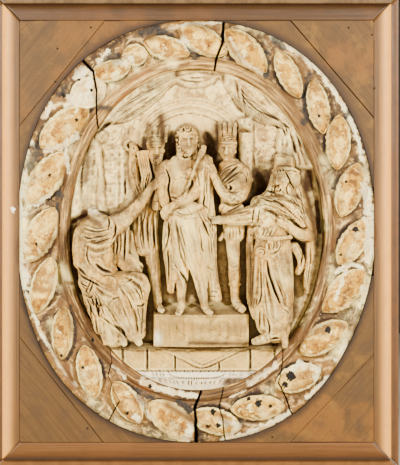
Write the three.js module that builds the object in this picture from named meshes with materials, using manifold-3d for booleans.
// An oval plaster high relief with a leaf wreath round it, set in a rectangular wooden panel frame.
// Millimetres, +Z up. The origin is at the centre of the flat back, and the front faces -Y.
// A place on the front is written [x, z, d]: d is how far it stands in front of the relief's ground.
import * as THREE from "three";
import { mergeVertices } from "three/addons/utils/BufferGeometryUtils.js";
import Module from "manifold-3d";

const wasm = await Module();
wasm.setup();

// Driving dimensions
const OPENING_W = 638; // clear width between the rails
const OPENING_H = 760; // clear height between the rails
const MOULDING_W = 33; // rounded part of a rail, seen from the front
const FILLET_W = 14; // flat outer edge of a rail
const WOOD_FRONT = 44; // height of the boards and of the rails' inner edge above the back
const FILLET_FRONT = 24; // height of the rails' flat outer edge
const BOARD_THICKNESS = 20;
const REBATE = 9; // lip of the rails behind the boards
const GAP = 0.3; // air between neighbouring pieces
const FINE = 0.1; // most that smoothing may move the faces of a board or of the wreath
const COARSE = 0.55; // and of the figures
const WREATH_A = 318; // outer half-width of the wreath
const WREATH_B = 379.4; // outer half-height of the wreath
// The outer edge was laid by hand: fuller than an ellipse between its axes, wider at the sides where the
// rails stop it, and flatter at the lower right.
const EDGE_FULL = 11;
const EDGE_WIDE = 4;
const EDGE_STOP = 318.7;
const EDGE_FLATTER = 8;
const FLATTER_AT = (325 * Math.PI) / 180;
const FLATTER_SPREAD = (20 * Math.PI) / 180;
const WREATH_BAND = 90; // width of the wreath from its outer edge to its opening
const WREATH_X = -0.7; // the wreath sits a little left of the middle
const OPENING_RISE = 3; // and its opening a little high
const GROUND = 30; // height of the relief's ground above the back
const LEAF_LENGTH = 94;
const LEAF_WIDTH = 44;
const LEAF_HEIGHT = 12;
const LEAF_TILT = (27 * Math.PI) / 180; // from the tangent, leading end outwards
const LEAF_INSET = 36; // distance of the leaves' centres from the outer edge
const FIRST_LEAF = 11; // distance along the wreath from its top, clockwise
// The leaves were laid by eye, so their spacing wanders.
const LEAF_STEPS = [78, 83, 76, 72, 87, 91, 87, 90, 79, 94, 78, 77, 84, 86, 82, 90, 91, 95, 95, 76, 54, 52, 56];
const CRACK_WIDTH = 3;
const CRACK_FLOOR = 34; // height above the back at which a crack ends

const RELIEF_A = WREATH_A - WREATH_BAND;
const RELIEF_B = WREATH_B - WREATH_BAND;

// Materials
const railWood = new THREE.MeshStandardMaterial({ color: 0xb08a60, roughness: 0.6, metalness: 0 });
const boardWood = new THREE.MeshStandardMaterial({ color: 0x94683f, roughness: 0.7, metalness: 0 });
const wreathPlaster = new THREE.MeshStandardMaterial({ color: 0xc9a47c, roughness: 0.8, metalness: 0 });
const reliefPlaster = new THREE.MeshStandardMaterial({ color: 0xd8c098, roughness: 0.85, metalness: 0 });

const mix = THREE.MathUtils.lerp;

// A place on the front as a point of the part's own frame.
const at = (x, z, d) => new THREE.Vector3(x, -(GROUND + d), z);

// A closed three.js geometry as a manifold solid, whichever way its faces were wound.
function solid(geometry) {
  const bare = geometry.clone();
  bare.deleteAttribute("normal");
  bare.deleteAttribute("uv");
  const merged = mergeVertices(bare, 1e-3);
  const triVerts = new Uint32Array(merged.index.array);
  const vertProperties = new Float32Array(merged.attributes.position.array);
  const body = new wasm.Manifold(new wasm.Mesh({ numProp: 3, vertProperties, triVerts }));
  if (body.volume() > 0) return body;
  for (let i = 0; i < triVerts.length; i += 3) {
    [triVerts[i + 1], triVerts[i + 2]] = [triVerts[i + 2], triVerts[i + 1]];
  }
  return new wasm.Manifold(new wasm.Mesh({ numProp: 3, vertProperties, triVerts }));
}

const join = (solids) => solids.reduce((all, next) => all.add(next));

// The outer shell of a joined body, without the pockets that its pieces close off inside it
// and without the slivers that joining leaves.
function shell(body, smoothing) {
  const outer = body.decompose().reduce((best, next) => (next.volume() > best.volume() ? next : best));
  return outer.asOriginal().simplify(smoothing);
}

// A manifold solid as a named mesh.
function named(name, body, material) {
  const { vertProperties, triVerts, numProp } = body.getMesh();
  const points = new Float32Array((vertProperties.length / numProp) * 3);
  for (let i = 0; i < points.length / 3; i++) {
    points.set(vertProperties.subarray(i * numProp, i * numProp + 3), i * 3);
  }
  const geometry = new THREE.BufferGeometry();
  geometry.setAttribute("position", new THREE.BufferAttribute(points, 3));
  geometry.setIndex(new THREE.BufferAttribute(triVerts, 1));
  geometry.computeVertexNormals();
  const mesh = new THREE.Mesh(geometry, material);
  mesh.name = name;
  return mesh;
}

// A flat outline in the front plane, as a plate between two heights above the back.
function plate(shape, low, high, curveSegments = 12) {
  const geometry = new THREE.ExtrudeGeometry(shape, { depth: high - low, bevelEnabled: false, curveSegments });
  geometry.rotateX(Math.PI / 2);
  geometry.translate(0, -low, 0);
  return solid(geometry);
}

const polygon = (points) => new THREE.Shape(points.map(([x, z]) => new THREE.Vector2(x, z)));

const rectangle = (x0, z0, x1, z1) =>
  polygon([
    [x0, z0],
    [x1, z0],
    [x1, z1],
    [x0, z1],
  ]);

const OVAL_SEGMENTS = 54;

function ovalPlate(a, b, low, high, x = WREATH_X, z = 0) {
  // An ellipse in a shape is divided into twice the number given.
  return plate(new THREE.Shape().absellipse(x, z, a, b, 0, 2 * Math.PI), low, high, OVAL_SEGMENTS / 2);
}

// A point of the wreath's outer edge, or of a line a gap outside it.
function wreathEdge(angle, gap = 0) {
  const off = Math.atan2(Math.sin(angle - FLATTER_AT), Math.cos(angle - FLATTER_AT)) / FLATTER_SPREAD;
  const flatter = EDGE_FLATTER * Math.exp(-off * off);
  const out = EDGE_FULL * Math.sin(2 * angle) ** 2 + EDGE_WIDE * Math.cos(angle) ** 2 - flatter + gap;
  const x = WREATH_X + (WREATH_A + out) * Math.cos(angle);
  const stop = EDGE_STOP + gap;
  return [Math.min(Math.max(x, -stop), stop), (WREATH_B + out) * Math.sin(angle)];
}

// A body carried along its stations [x, z, d, half-width, half-depth], with rounded or blunt ends.
// Pleats draw in every other edge of its section.
function sweep(stations, { sides = 6, pleats = 0, blunt = false } = {}) {
  const places = stations.map(([x, z, d]) => at(x, z, d));
  const rows = stations.map((s, i) => ({
    place: places[i],
    way: places[Math.min(i + 1, places.length - 1)].clone().sub(places[Math.max(i - 1, 0)]).normalize(),
    wide: s[3],
    deep: s[4] ?? s[3],
  }));
  const rounded = (row, sense) => {
    const reach = 0.7 * Math.min(row.wide, row.deep) * sense;
    const place = row.place.clone().addScaledVector(row.way, reach);
    return { ...row, place, wide: row.wide * 0.7, deep: row.deep * 0.7 };
  };
  if (!blunt) {
    rows.unshift(rounded(rows[0], -1));
    rows.push(rounded(rows.at(-1), 1));
  }
  const geometry = new THREE.CylinderGeometry(1, 1, 1, sides, rows.length - 1);
  const position = geometry.attributes.position;
  for (let i = 0; i < position.count; i++) {
    const row = rows[Math.round((0.5 - position.getY(i)) * (rows.length - 1))];
    const angle = Math.atan2(position.getZ(i), position.getX(i));
    const onEdge = Math.hypot(position.getX(i), position.getZ(i)) > 0.5;
    const drawnIn = Math.round((angle / Math.PI) * (sides / 2)) % 2 ? 1 - pleats : 1;
    const across = new THREE.Vector3(-row.way.z, 0, row.way.x);
    if (across.length() < 0.1) across.set(1, 0, 0);
    across.normalize();
    const out = new THREE.Vector3().crossVectors(across, row.way);
    const p = row.place.clone();
    if (onEdge) {
      p.addScaledVector(across, Math.cos(angle) * row.wide * drawnIn);
      p.addScaledVector(out, Math.sin(angle) * row.deep * drawnIn);
    }
    position.setXYZ(i, p.x, p.y, p.z);
  }
  return solid(geometry);
}

// A rounded mass, such as a head, with half-sizes across, up and deep.
function ball([x, z, d], [across, up, deep], { sides = 7, rings = 5, turn = 0 } = {}) {
  const geometry = new THREE.SphereGeometry(1, sides, rings);
  geometry.rotateX(Math.PI / 2);
  geometry.scale(across, deep, up);
  geometry.rotateY(turn);
  const p = at(x, z, d);
  geometry.translate(p.x, p.y, p.z);
  return solid(geometry);
}

// Ridges of cloth: count of them, fanned from the line a-b to the line c-d, each a thin body along its path.
function folds(count, a, b, c, d, thick) {
  return Array.from({ length: count }, (_, i) => {
    const t = count === 1 ? 0.5 : i / (count - 1);
    const start = a.map((value, k) => mix(value, b[k], t));
    const end = c.map((value, k) => mix(value, d[k], t));
    const middle = start.map((value, k) => (value + end[k]) / 2 + (k === 2 ? 3 : 0));
    const path = [start, middle, end].map((p, k) => [...p, k === 1 ? thick : thick * 0.5, thick]);
    return sweep(path, { sides: 3, blunt: true });
  });
}

// One rail: its moulded profile carried along a side of the opening, mitred at both ends.
function rail(across, along, placeAt) {
  const profile = new THREE.Shape();
  profile.moveTo(-REBATE, 0);
  profile.lineTo(MOULDING_W + FILLET_W, 0);
  profile.lineTo(MOULDING_W + FILLET_W, FILLET_FRONT);
  profile.lineTo(MOULDING_W, FILLET_FRONT);
  const round = MOULDING_W * 0.55;
  profile.lineTo(MOULDING_W, FILLET_FRONT + 3);
  profile.absellipse(MOULDING_W - round, FILLET_FRONT + 3, round, WOOD_FRONT - FILLET_FRONT - 3, 0, Math.PI / 2);
  profile.lineTo(0, WOOD_FRONT);
  profile.lineTo(0, WOOD_FRONT - BOARD_THICKNESS - GAP);
  profile.lineTo(-REBATE, WOOD_FRONT - BOARD_THICKNESS - GAP);
  const geometry = new THREE.ExtrudeGeometry(profile, { depth: 1, bevelEnabled: false, curveSegments: 8 });
  const position = geometry.attributes.position;
  for (let i = 0; i < position.count; i++) {
    const [s, h, end] = [position.getX(i), position.getY(i), position.getZ(i) * 2 - 1];
    placeAt(position, i, across / 2 + s, h, end * (along / 2 + s - GAP / 2));
  }
  return solid(geometry);
}

function rails() {
  const upright = (sense) =>
    rail(OPENING_W, OPENING_H, (position, i, s, h, end) => position.setXYZ(i, sense * s, -h, end));
  const level = (sense) =>
    rail(OPENING_H, OPENING_W, (position, i, s, h, end) => position.setXYZ(i, end, -h, sense * s));
  return [
    named("rail_left", upright(-1), railWood),
    named("rail_right", upright(1), railWood),
    named("rail_top", level(1), railWood),
    named("rail_bottom", level(-1), railWood),
  ];
}

// Each corner: a three-sided board across it, and a board with a hollow edge beside the wreath.
function boards() {
  const w = OPENING_W / 2 - GAP;
  const h = OPENING_H / 2 - GAP;
  const back = WOOD_FRONT - BOARD_THICKNESS;
  const round = Array.from({ length: OVAL_SEGMENTS }, (_, i) => (i / OVAL_SEGMENTS) * 2 * Math.PI);
  const hole = plate(polygon(round.map((angle) => wreathEdge(angle, GAP))), back - 1, WOOD_FRONT + 1);
  // The hollow-edged boards run out to nothing this far from the wreath's axes.
  const [tipX, tipZ] = [36, 80];
  const corners = [
    ["top_left", -1, 1, 165, 190],
    ["top_right", 1, 1, 168, 204],
    ["bottom_left", -1, -1, 168, 190],
    ["bottom_right", 1, -1, 168, 222],
  ];
  return corners.flatMap(([name, sx, sz, jointX, jointZ]) => {
    const place = ([x, z]) => [sx * x, sz * z];
    const kerf = GAP * 2;
    const corner = polygon([[w, h], [jointX + kerf, h], [w, jointZ + kerf]].map(place));
    const beside = [[jointX, h], [tipX, h], [tipX, tipZ], [w, tipZ], [w, jointZ]];
    const hollowed = plate(polygon(beside.map(place)), back, WOOD_FRONT).subtract(hole);
    return [
      named(`corner_board_${name}`, plate(corner, back, WOOD_FRONT), boardWood),
      named(`hollow_board_${name}`, shell(hollowed, FINE), boardWood),
    ];
  });
}

// The wreath: a moulded band round the oval, almond leaves laid along it, and three cracks through it.
function wreath() {
  // Profile as [distance inwards from the outer edge, height above the back]
  // Its back edge is stepped, to sit on the lip of the rails.
  const [step, seat] = [REBATE + 2, WOOD_FRONT - BOARD_THICKNESS];
  const profile = [
    [step, 0], [step, seat], [0, seat], [0, 48], [13, 58], [64, 57], [71, 48], [75, 52],
    [WREATH_BAND - GAP, 46], [WREATH_BAND - GAP, 0],
  ];
  const geometry = new THREE.TorusGeometry(2, 1, profile.length, OVAL_SEGMENTS);
  const position = geometry.attributes.position;
  const uv = geometry.attributes.uv;
  for (let i = 0; i < position.count; i++) {
    const [inwards, height] = profile[Math.round(uv.getY(i) * profile.length) % profile.length];
    const angle = uv.getX(i) * 2 * Math.PI;
    const t = inwards / WREATH_BAND;
    const [edgeX, edgeZ] = wreathEdge(angle);
    const x = mix(edgeX, RELIEF_A * Math.cos(angle), t);
    const z = mix(edgeZ, OPENING_RISE + RELIEF_B * Math.sin(angle), t);
    position.setXYZ(i, x, -height, z);
  }
  let body = solid(geometry);
  const line = new THREE.EllipseCurve(
    WREATH_X, 0, WREATH_A - LEAF_INSET, WREATH_B - LEAF_INSET, Math.PI / 2, -1.5 * Math.PI, true);
  let along = FIRST_LEAF;
  for (const step of [...LEAF_STEPS, 0]) {
    const u = (along / line.getLength()) % 1;
    const centre = line.getPointAt(u);
    const tangent = line.getTangentAt(u).negate();
    const turn = Math.atan2(tangent.y, tangent.x) - LEAF_TILT;
    const size = [LEAF_LENGTH / 2, LEAF_WIDTH / 2, LEAF_HEIGHT];
    const leaf = ball([centre.x, centre.y, 27], size, { sides: 7, rings: 4, turn: -turn });
    body = body.add(leaf);
    along += (step * line.getLength()) / 1919;
  }
  const cracks = [
    [[60, 396], [45, 336], [43, 312], [31, 286]],
    [[-203, 312], [-186, 288], [-178, 250], [-177, 180]],
    [[1, -395], [-3, -350], [-1, -312], [7, -285]],
  ];
  const high = WOOD_FRONT * 2;
  for (const path of cracks) {
    const left = path.map(([x, z]) => [x - CRACK_WIDTH / 2, z]);
    const right = path.map(([x, z]) => [x + CRACK_WIDTH / 2, z]).reverse();
    body = body.subtract(plate(polygon([...left, ...right]), CRACK_FLOOR, high));
  }
  return named("leaf_wreath", shell(body, FINE), wreathPlaster);
}

// What stands behind the figures: arch, curtains, pilaster, column, and the masonry below.
function setting() {
  const ground = ovalPlate(RELIEF_A - GAP, RELIEF_B - GAP, 0, GROUND, 0, OPENING_RISE);
  const arch = [84, 96, 109].map((radius, i) => {
    const band = new THREE.Shape().absarc(-12, 129, radius + 6, 0.25, Math.PI - 0.25);
    band.absarc(-12, 129, radius, Math.PI - 0.25, 0.25, true);
    return plate(band, GROUND - 2, GROUND + 3 + 2 * i, 7);
  });
  const curtains = [
    sweep([[-185, 180, 2, 12, 8], [-140, 208, 4, 22, 10], [-95, 238, 4, 26, 10], [-30, 272, 2, 12, 7]],
      { sides: 8, pleats: 0.3, blunt: true }),
    sweep([[50, 272, 2, 12, 7], [88, 238, 4, 22, 10], [125, 212, 4, 20, 10], [172, 186, 2, 10, 8]],
      { sides: 8, pleats: 0.3, blunt: true }),
    sweep([[-178, 182, 4, 13, 10], [-184, 140, 3, 13, 10], [-190, 90, 3, 14, 9], [-192, 36, 1, 15, 8]],
      { sides: 8, pleats: 0.35, blunt: true }),
    sweep([[170, 190, 4, 13, 10], [178, 150, 3, 16, 9], [184, 104, 2, 18, 8]], { sides: 8, pleats: 0.35, blunt: true }),
    sweep([[-38, 274, 1, 8, 7], [-5, 264, 2, 10, 8], [32, 274, 1, 8, 7]], { sides: 8, pleats: 0.3 }),
  ];
  const building = [
    plate(rectangle(-164, 42, -130, 150), GROUND - 2, GROUND + 7),
    plate(rectangle(-172, 148, -124, 186), GROUND - 2, GROUND + 11),
    plate(rectangle(75, 116, 99, 180), GROUND - 2, GROUND + 9),
    plate(rectangle(72, 178, 104, 190), GROUND - 2, GROUND + 12),
    plate(rectangle(108, 118, 148, 160), GROUND - 2, GROUND + 5),
    plate(rectangle(-128, -62, -104, 16), GROUND - 2, GROUND + 12),
  ];
  return [ground, ...arch, ...curtains, ...building];
}

// The block course, the strips below it and the bow-fronted plinth, cut to the oval.
function base() {
  const steps = [
    plate(rectangle(-170, -211, 172, -202), GROUND - 2, GROUND + 26),
    plate(rectangle(-166, -250, 168, -210), GROUND - 2, GROUND + 20),
    plate(rectangle(-120, -264, 120, -249), GROUND - 2, GROUND + 14),
    plate(rectangle(-110, -290, 110, -263), GROUND - 2, GROUND + 11),
  ].map((step) => step.intersect(ovalPlate(RELIEF_A - GAP, RELIEF_B - GAP, 0, 99, 0, OPENING_RISE)));
  const joints = [-133, -89, -39, 40, 96, 140].map((x) =>
    plate(rectangle(x - 1, -249, x + 1, -210), GROUND + 17, GROUND + 30));
  const [left, right, low, front, rise] = [-80, 93, -206, -150, 22];
  const plan = new THREE.Shape();
  plan.moveTo(left, 2);
  plan.lineTo(left, -30);
  plan.quadraticCurveTo((left + right) / 2, -66, right, -30);
  plan.lineTo(right, 2);
  const plinth = new THREE.ExtrudeGeometry(plan, { depth: front - low, bevelEnabled: false, curveSegments: 10 });
  const position = plinth.attributes.position;
  for (let i = 0; i < position.count; i++) {
    const [y, z] = [position.getY(i), position.getZ(i)];
    position.setXYZ(i, position.getX(i), y - GROUND, z + low + (z > 1 ? rise * (1 + y / 48) : 0));
  }
  return [steps.reduce((all, next) => all.add(next)).subtract(join(joints)), solid(plinth)];
}

// Two feet of a standing figure, and the prongs of a spiked headband.
const foot = (heel, toe) => sweep([[...heel, 6.5, 6], [...toe, 5.5, 4]], { sides: 6 });

function prongs(xs, low, high, d) {
  return xs.map((x) => sweep([[x, low, d, 3, 3], [x + (x > 0 ? 1 : -1), high, d + 2, 2, 2]], { sides: 3, blunt: true }));
}

// The bound figure in the middle: bare chest, crossed wrists, staff, and a mantle falling to the feet.
function boundFigure() {
  return [
    ball([-17, 163, 36], [18, 23, 18], { sides: 8, rings: 6 }),
    ball([-17, 178, 33], [20, 17, 20], { sides: 10, rings: 5 }),
    sweep([[-19, 146, 48, 8, 6], [-17, 136, 48, 5, 4]], { sides: 6 }),
    sweep([[-22, 122, 36, 12, 11], [-18, 146, 36, 10, 11]]),
    sweep([[-24, 42, 40, 24, 17], [-27, 66, 40, 24, 18], [-27, 100, 40, 30, 20], [-24, 122, 36, 34, 14]],
      { sides: 10 }),
    sweep([[-57, 116, 36, 11], [-61, 92, 37, 9.5], [-62, 68, 40, 9], [-55, 44, 48, 7.5], [-56, 30, 52, 7, 6]]),
    sweep([[8, 120, 34, 14], [2, 88, 40, 11], [-8, 64, 48, 9.5], [-28, 54, 56, 8.5], [-46, 44, 58, 7]]),
    sweep([[-19, 66, 60, 2], [-8, 94, 58, 2], [4, 126, 54, 2.5], [11, 150, 50, 5, 3]], { sides: 5 }),
    sweep([[9, 124, 34, 14, 14], [16, 92, 36, 13, 16], [16, 50, 36, 15, 18], [17, 4, 34, 17, 19],
      [22, -50, 30, 15, 16], [30, -114, 24, 12, 12]], { sides: 10, pleats: 0.16 }),
    sweep([[-30, 36, 38, 24, 16], [-32, -8, 38, 27, 20], [-34, -46, 36, 25, 18], [-40, -82, 32, 14, 14],
      [-46, -106, 30, 7, 9]], { sides: 10, pleats: 0.14 }),
    sweep([[-10, 34, 40, 20, 18], [-6, -14, 44, 20, 20], [2, -56, 44, 17, 18], [14, -96, 38, 9, 12]],
      { sides: 8, pleats: 0.14 }),
    sweep([[-28, -70, 34, 12], [-27, -96, 36, 9], [-27, -126, 34, 6.5]]),
    sweep([[0, -66, 40, 12], [6, -96, 40, 9], [13, -128, 34, 6.5]]),
    foot([-28, -134, 36], [-34, -146, 50]),
    foot([15, -134, 36], [25, -144, 50]),
    ...folds(3, [-44, 16, 52], [2, 24, 60], [-54, -88, 44], [16, -80, 56], 3),
    ...folds(1, [-12, 38, 58], [-12, 38, 58], [-12, -62, 60], [-12, -62, 60], 3),
  ];
}

// A guard's prongs, head and neck.
const guardHead = (x, z, d) => [
  ball([x, z, d], [16, 21, 15], { sides: 8, rings: 6 }),
  sweep([[x - 13, z + 14, d, 4, 3], [x, z + 13, d + 13, 4, 3], [x + 13, z + 14, d, 4, 3]], { sides: 5 }),
  sweep([[x, z - 40, d - 2, 12, 9], [x, z - 14, d - 2, 9, 9]]),
];

function guardLeft() {
  return [
    ...guardHead(-72, 150, 22),
    ...prongs([-82, -69, -59], 162, 190, 22),
    sweep([[-72, 118, 46 - 20, 12, 10], [-84, 96, 20, 16, 12], [-88, 56, 20, 17, 14], [-90, 36, 20, 18, 14]]),
    sweep([[-88, 42, 18, 22, 14], [-90, 4, 18, 20, 14], [-90, -38, 16, 19, 10]], { sides: 8, pleats: 0.18, blunt: true }),
    sweep([[-82, -22, 16, 10], [-80, -74, 16, 8], [-73, -124, 14, 6.5]]),
    foot([-74, -134, 18], [-62, -140, 34]),
    ball([-72, 45, 34], [9, 9, 8], { sides: 7, rings: 5 }),
    sweep([[-97, 142, 16, 10, 9], [-88, 90, 16, 9, 9]], { sides: 8, pleats: 0.2 }),
    sweep([[-124, 178, 6, 5, 5], [-128, 163, 8, 8, 7], [-119, 148, 6, 5, 5]], { sides: 6 }),
    sweep([[-120, 163, 8, 7, 6], [-100, 158, 12, 5, 5], [-97, 140, 14, 5, 6]], { sides: 6 }),
  ];
}

function guardRight() {
  return [
    ...guardHead(56, 150, 24),
    ...prongs([41, 49, 58, 67], 162, 188, 24),
    sweep([[60, 122, 22, 26, 12], [62, 92, 24, 25, 16], [63, 52, 24, 20, 14], [62, 24, 22, 17, 12]], { sides: 9 }),
    ball([78, 88, 34], [15, 15, 9], { sides: 9, rings: 6 }),
    sweep([[80, 84, 34, 12], [74, 62, 42, 11], [54, 62, 48, 10], [38, 80, 48, 9], [30, 104, 44, 8, 7]]),
    sweep([[62, 26, 22, 18, 12], [62, -14, 22, 20, 12]], { sides: 8, pleats: 0.2, blunt: true }),
    sweep([[64, -8, 20, 12, 10], [67, -50, 20, 11, 10], [69, -80, 20, 11, 10], [68, -104, 18, 8, 8],
      [70, -122, 18, 8, 8]]),
    foot([70, -130, 20], [84, -138, 34]),
    ...folds(3, [44, 96, 40], [70, 118, 34], [62, 76, 44], [88, 102, 38], 3),
  ];
}

// The robed figure at the right, with a flat cap, a pointing arm and a cape over the shoulders.
function robedFigure() {
  return [
    ball([158, 92, 34], [18, 24, 18], { sides: 8, rings: 6 }),
    sweep([[156, 112, 30, 16, 15], [156, 128, 30, 16, 13]], { sides: 8 }),
    sweep([[138, 104, 32, 8, 6], [157, 105, 50, 8, 5], [175, 104, 32, 8, 6]], { sides: 6 }),
    sweep([[148, 82, 46, 12, 8], [144, 58, 48, 10, 8]], { sides: 8, pleats: 0.2 }),
    sweep([[180, 104, 20, 10, 12], [184, 78, 22, 12, 12], [180, 50, 26, 20, 16]], { sides: 8, pleats: 0.2 }),
    sweep([[118, 46, 32, 14, 16], [150, 40, 36, 28, 24], [188, 26, 32, 24, 20]], { sides: 8, pleats: 0.1 }),
    sweep([[120, 40, 44, 16, 14], [98, 32, 48, 15, 13], [66, 26, 50, 12, 11]], { sides: 8, pleats: 0.12 }),
    sweep([[62, 26, 50, 8], [46, 22, 50, 7, 6], [30, 22, 50, 4, 3]], { sides: 6 }),
    sweep([[196, 34, 32, 18, 16], [206, 2, 36, 15, 14], [206, -8, 38, 13]]),
    sweep([[207, -7, 38, 12], [182, 0, 50, 10], [158, 14, 58, 8, 6]]),
    sweep([[146, 28, 28, 40, 32], [140, -10, 30, 34, 32], [134, -48, 31, 36, 33], [134, -100, 31, 40, 33],
      [134, -150, 29, 38, 31], [136, -178, 26, 34, 28]], { sides: 12, pleats: 0.12 }),
    sweep([[110, -8, 56, 4], [138, -13, 66, 5, 4], [168, -10, 54, 4]], { sides: 6 }),
    sweep([[114, -14, 60, 4], [115, -40, 62, 4]], { sides: 5 }),
    sweep([[97, 8, 22, 7, 12], [97, -56, 22, 7, 12], [96, -112, 20, 6, 10]], { sides: 8, pleats: 0.2 }),
    sweep([[203, -16, 24, 14, 14], [197, -62, 20, 14, 12], [186, -112, 14, 13, 10]], { sides: 8, pleats: 0.25 }),
    foot([112, -188, 40], [102, -196, 54]),
    foot([150, -190, 38], [156, -200, 52]),
    ...folds(3, [118, -34, 61], [150, -34, 61], [112, -150, 60], [158, -140, 58], 3.4),
    ...folds(3, [122, 56, 54], [176, 60, 48], [150, 22, 62], [204, 6, 52], 3.4),
  ];
}

// The headless figure seated at the left: broken neck, raised arm, lap and falling drapery.
function seatedFigure() {
  return [
    sweep([[-180, 8, 32, 13, 12], [-178, 40, 32, 9, 9]]),
    sweep([[-176, 12, 28, 30, 24], [-186, -14, 30, 34, 32], [-186, -48, 31, 33, 33], [-180, -76, 30, 34, 32]],
      { sides: 8, pleats: 0.06 }),
    sweep([[-162, 14, 38, 20, 17], [-130, 24, 44, 18, 14], [-106, 50, 46, 11], [-86, 74, 44, 7, 6]]),
    ball([-79, 81, 44], [7, 8, 5], { sides: 7, rings: 5 }),
    sweep([[-212, -24, 34, 14], [-206, -58, 42, 11], [-182, -78, 58, 8.5], [-152, -88, 64, 7, 5]]),
    sweep([[-190, -92, 34, 26, 30], [-150, -96, 42, 26, 30], [-108, -96, 40, 22, 30]], { sides: 8, pleats: 0.08 }),
    sweep([[-168, -104, 52, 22, 16], [-140, -116, 56, 21, 18]], { sides: 8 }),
    sweep([[-140, -118, 54, 20, 18], [-126, -156, 48, 17, 16], [-108, -186, 42, 12]], { sides: 8, pleats: 0.12 }),
    sweep([[-104, -98, 48, 20, 18], [-102, -146, 44, 14, 16], [-102, -184, 40, 12, 13]], { sides: 8, pleats: 0.12 }),
    sweep([[-184, -100, 26, 26, 28], [-170, -142, 26, 30, 26], [-152, -180, 22, 32, 24]], { sides: 12, pleats: 0.16, blunt: true }),
    sweep([[-133, 8, 36, 11, 12], [-133, -50, 34, 10, 10]], { sides: 8, pleats: 0.25 }),
    foot([-134, -190, 40], [-128, -198, 54]),
    foot([-106, -188, 42], [-102, -196, 56]),
    ...folds(3, [-202, 4, 52], [-206, -22, 56], [-150, 12, 52], [-152, -18, 60], 3.2),
    ...folds(3, [-216, -84, 48], [-196, -70, 56], [-186, -112, 56], [-164, -92, 68], 3.4),
    ...folds(3, [-186, -114, 54], [-136, -110, 74], [-176, -176, 48], [-116, -180, 60], 3.4),
  ];
}

function relief() {
  const figures = [
    ...boundFigure(), ...guardLeft(), ...guardRight(), ...robedFigure(), ...seatedFigure(),
  ];
  const whole = join([...setting(), ...base(), ...figures]);
  const inside = ovalPlate(RELIEF_A - GAP, RELIEF_B - GAP, 0, GROUND + 99, 0, OPENING_RISE);
  return named("relief", shell(whole, COARSE).intersect(inside), reliefPlaster);
}

const group = new THREE.Group();
group.add(...rails(), ...boards(), wreath(), relief());

export default group;
